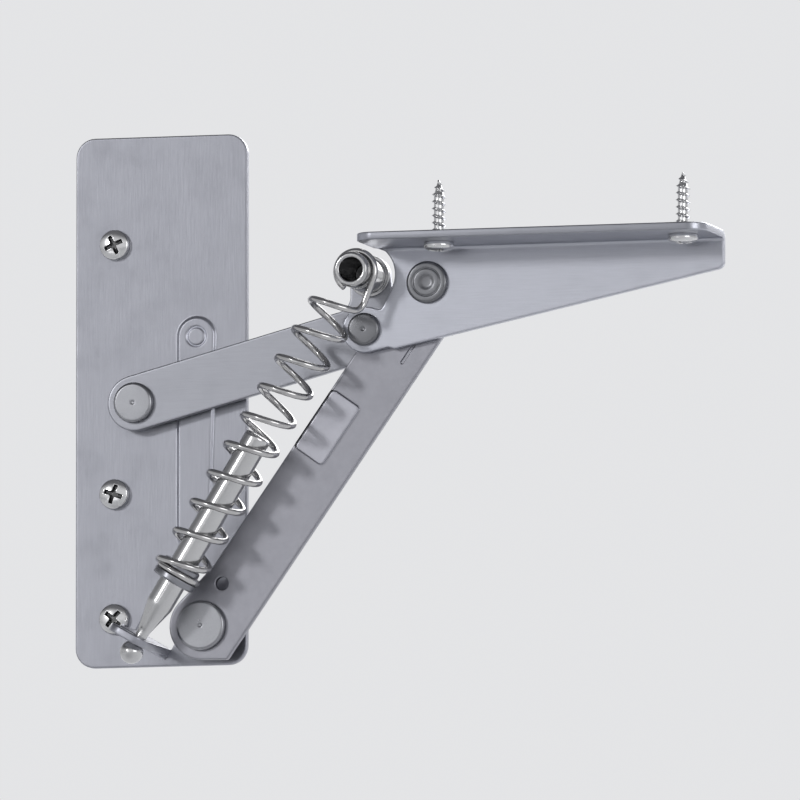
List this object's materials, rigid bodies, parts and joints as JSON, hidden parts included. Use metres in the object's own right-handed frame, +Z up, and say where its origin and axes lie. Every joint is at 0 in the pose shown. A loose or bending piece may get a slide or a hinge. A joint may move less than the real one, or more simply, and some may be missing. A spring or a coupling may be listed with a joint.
{
  "type": "cabinet spring hinge",
  "caption": "Spring loaded two arm hinge that lifts and holds open a cabinet flap.",
  "frame": {"origin": "centre of the side plate's mounting face, on the cabinet's side panel", "axes": "+X out of the cabinet's front, +Y into the side panel along the pivots, +Z up; shown with the flap open"},
  "size_m": [0.1737, 0.0456, 0.1369],
  "materials": {
    "plate_zinc": "satin zinc plated sheet",
    "arm_zinc": "satin zinc plated sheet",
    "lower_arm_zinc": "satin zinc plated sheet",
    "bracket_zinc": "satin zinc plated sheet",
    "rivet_steel": "zinc plated",
    "spacer_steel": "zinc plated",
    "washer_steel": "plain",
    "post_nickel": "bright nickel plated",
    "spring_wire": "bright nickel plated wire",
    "rod_nickel": "bright nickel plated",
    "seat_steel": "zinc plated",
    "screw_nickel": "bright nickel plated"
  },
  "bodies": {
    "plate": {"side_plate": "plate_zinc", "upper_pivot_rivet": "rivet_steel", "lower_pivot_rivet": "rivet_steel", "upper_pivot_spacer": "spacer_steel", "lower_pivot_spacer": "spacer_steel", "upper_pivot_washer": "washer_steel", "lower_pivot_washer": "washer_steel", "side_screw_top": "screw_nickel", "side_screw_middle": "screw_nickel", "side_screw_bottom": "screw_nickel"},
    "upper_arm": {"upper_arm": "arm_zinc", "bracket_rivet": "rivet_steel", "bracket_spacer": "spacer_steel", "spring_post": "post_nickel"},
    "lower_arm": {"lower_arm": "lower_arm_zinc", "link_rivet_tail": "rivet_steel"},
    "bracket": {"flap_bracket": "bracket_zinc", "link_rivet": "rivet_steel", "link_washer": "washer_steel", "flap_screw_front": "screw_nickel", "flap_screw_rear": "screw_nickel"},
    "rod": {"spring_rod": "rod_nickel", "spring_seat": "seat_steel"},
    "spring": {"tension_spring": "spring_wire"}
  },
  "joints": [
    {"name": "upper_arm_pivot", "type": "hinge", "parent": "plate", "child": "upper_arm", "pos_m": [-0.00585, 0, -0.0008], "axis": [0, -1, 0], "range_deg": [0, 66.7]},
    {"name": "lower_arm_pivot", "type": "hinge", "parent": "plate", "child": "lower_arm", "pos_m": [0.01285, 0, -0.0586], "axis": [0, -1, 0], "range_deg": [0, 33.9]},
    {"name": "bracket_pivot", "type": "hinge", "parent": "upper_arm", "child": "bracket", "pos_m": [0.05652, 0, 0.0157], "axis": [0, 1, 0], "range_deg": [0, 156.7]},
    {"name": "rod_pivot", "type": "hinge", "parent": "plate", "child": "rod", "pos_m": [-0.00255, -0.02, -0.0659], "axis": [0, -1, 0], "range_deg": [0, 34.6]},
    {"name": "spring_stretch", "type": "slide", "parent": "rod", "child": "spring", "axis": [0.5263, 0, 0.8503], "range_m": [0, 0.0223], "deforming": ["tension_spring"]}
  ],
  "couplings": [
    {"joint": "lower_arm_pivot", "follows": "upper_arm_pivot", "ratio": 0.50763},
    {"joint": "bracket_pivot", "follows": "upper_arm_pivot", "ratio": 2.349},
    {"joint": "rod_pivot", "follows": "upper_arm_pivot", "ratio": 0.51821},
    {"joint": "spring_stretch", "follows": "upper_arm_pivot", "m_per_rad": 0.019127}
  ]
}
